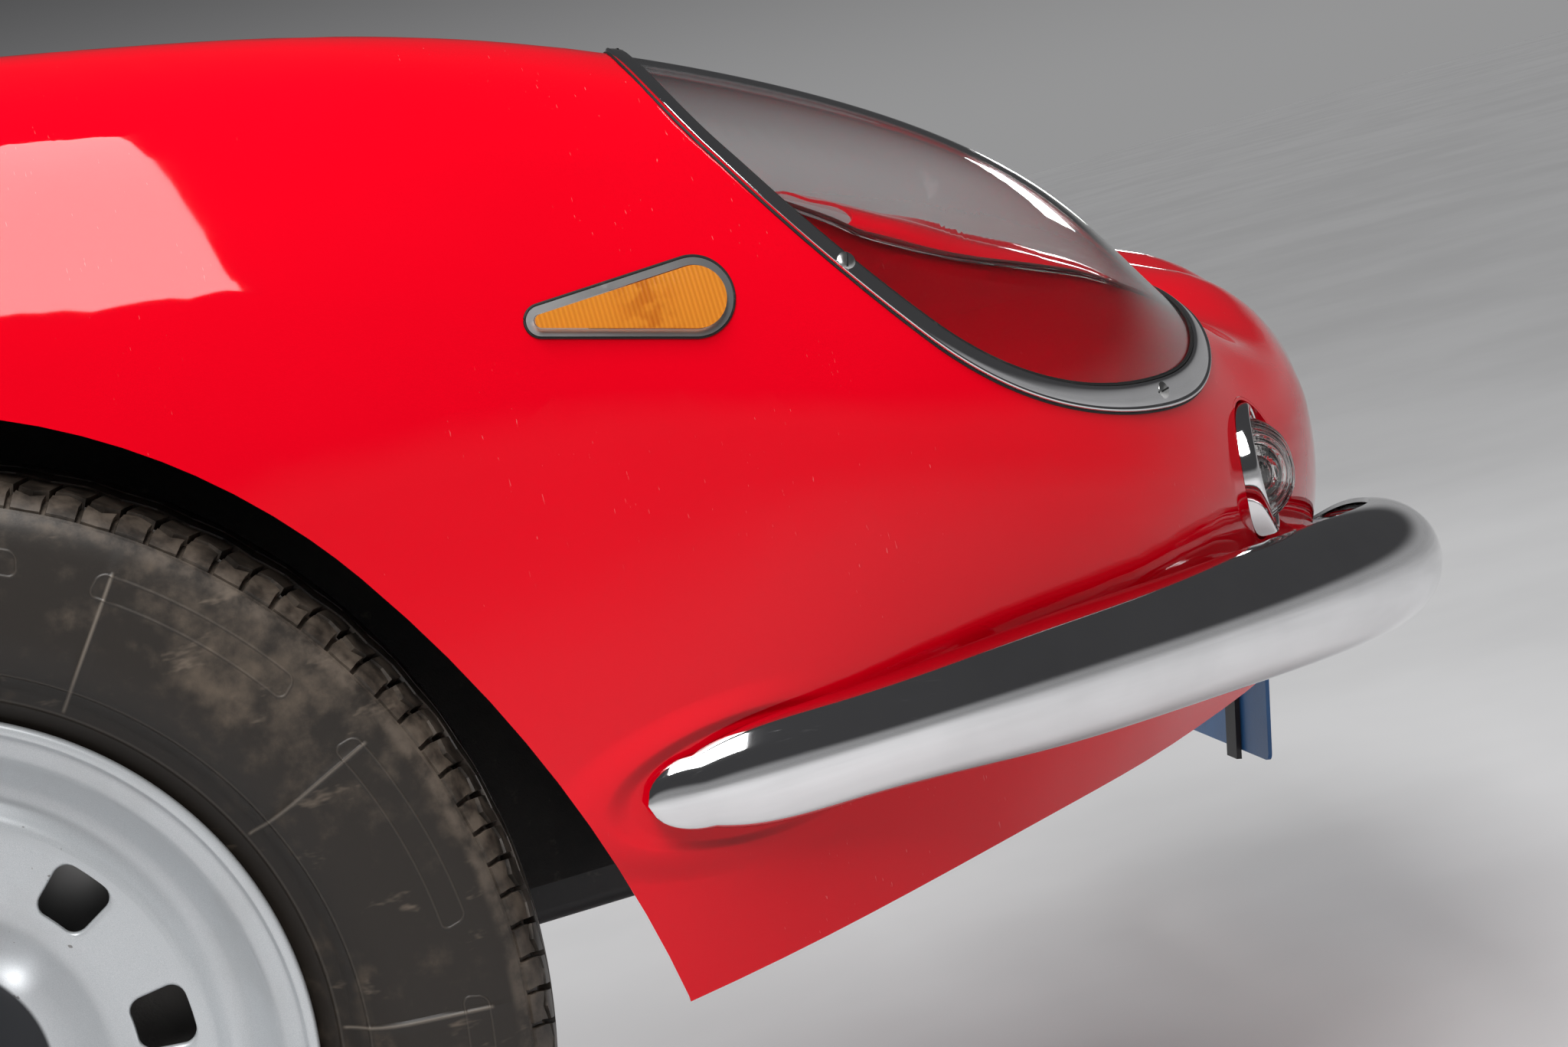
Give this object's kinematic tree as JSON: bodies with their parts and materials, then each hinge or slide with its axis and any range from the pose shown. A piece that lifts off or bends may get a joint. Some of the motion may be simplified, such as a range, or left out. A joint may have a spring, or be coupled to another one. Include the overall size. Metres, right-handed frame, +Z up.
{
  "type": "grand tourer front corner",
  "caption": "Right front corner of a grand tourer: wing with faired headlamp and clear cover, chrome quarter bumper, lamps, chassis rail, wishbone suspension, steered wheel and tyre.",
  "frame": {"origin": "centre of the chassis rail's rear flange, on its rear face", "axes": "+X forward along the car, +Y inboard to the car's left, +Z up"},
  "size_m": [1.5914, 1.0035, 0.9239],
  "materials": {
    "wing": "deep gloss",
    "inner_wing": "matt underseal",
    "headlamp_bowl": "deep gloss",
    "headlamp_shell": "bright reflector",
    "headlamp_ring": "bright",
    "headlamp_lens": "clear, fluted",
    "headlamp_cover": "clear",
    "cover_rim": "bright",
    "side_lamp_bezel": "bright",
    "side_lamp_lens": "amber",
    "front_lamp_bowl": "deep gloss",
    "front_lamp_bezel": "bright",
    "front_lamp_lens": "clear, ribbed",
    "bumper_blade": "bright",
    "bumper_arm": "satin",
    "bumper_stay": "satin",
    "nose_frame": "satin",
    "number_plate": "gloss, blank",
    "plate_strap": "satin",
    "chassis_rail": "satin",
    "suspension_turret": "satin",
    "lower_bracket": "satin",
    "upper_wishbone": "satin",
    "lower_wishbone": "satin",
    "coil_spring": "satin",
    "damper": "satin",
    "knuckle": "forged, oiled",
    "brake_caliper": "cast",
    "brake_disc": "ground faces",
    "hub": "machined",
    "wheel_rim": "silver",
    "wheel_nut": "bright",
    "tyre": "matt rubber"
  },
  "bodies": {
    "corner": {"wing": "wing", "inner_wing": "inner_wing", "headlamp_bowl": "headlamp_bowl", "headlamp_shell": "headlamp_shell", "headlamp_ring": "headlamp_ring", "headlamp_lens": "headlamp_lens", "headlamp_cover": "headlamp_cover", "cover_rim": "cover_rim", "side_lamp_bezel": "side_lamp_bezel", "side_lamp_lens": "side_lamp_lens", "front_lamp_bowl": "front_lamp_bowl", "front_lamp_bezel": "front_lamp_bezel", "front_lamp_lens": "front_lamp_lens", "bumper_blade": "bumper_blade", "bumper_arm": "bumper_arm", "bumper_stay": "bumper_stay", "nose_frame": "nose_frame", "number_plate": "number_plate", "plate_strap": "plate_strap", "chassis_rail": "chassis_rail", "suspension_turret": "suspension_turret", "lower_bracket": "lower_bracket", "upper_wishbone": "upper_wishbone", "lower_wishbone": "lower_wishbone", "coil_spring": "coil_spring", "damper": "damper"},
    "upright": {"knuckle": "knuckle", "brake_caliper": "brake_caliper"},
    "wheel": {"brake_disc": "brake_disc", "hub": "hub", "wheel_rim": "wheel_rim", "wheel_nut": "wheel_nut", "tyre": "tyre"}
  },
  "joints": [
    {"name": "steering", "type": "hinge", "parent": "corner", "child": "upright", "pos_m": [0.56, -0.26, 0.038], "axis": [-0.0518, 0.1036, 0.9933], "range_deg": [-31, 31]},
    {"name": "wheel_spin", "type": "hinge", "parent": "upright", "child": "wheel", "pos_m": [0.56, -0.345, 0.038], "axis": [0, 1, 0], "continuous": true}
  ]
}
